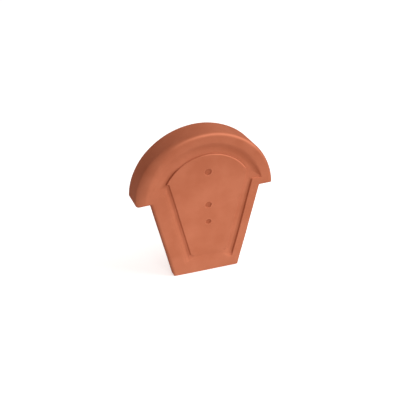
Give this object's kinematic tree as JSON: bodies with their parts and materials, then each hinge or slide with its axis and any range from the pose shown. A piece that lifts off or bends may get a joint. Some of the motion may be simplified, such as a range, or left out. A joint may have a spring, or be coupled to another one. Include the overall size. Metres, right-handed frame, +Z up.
{
  "type": "ridge end cap",
  "caption": "Fired clay end cap for a half-round roof ridge: a hooded plate, hollow behind, with a tapering tongue and a channelled panel on its front.",
  "frame": {"origin": "on the back of the plate, where the axis of the half-round ridge meets it", "axes": "+Z up along the plate, -Y the way the front faces, +X to the right seen from the front"},
  "size_m": [0.2396, 0.0455, 0.2688],
  "materials": {
    "terracotta": "unglazed, matt"
  },
  "bodies": {
    "root": {"ridge_end_cap": "terracotta"}
  },
  "joints": []
}
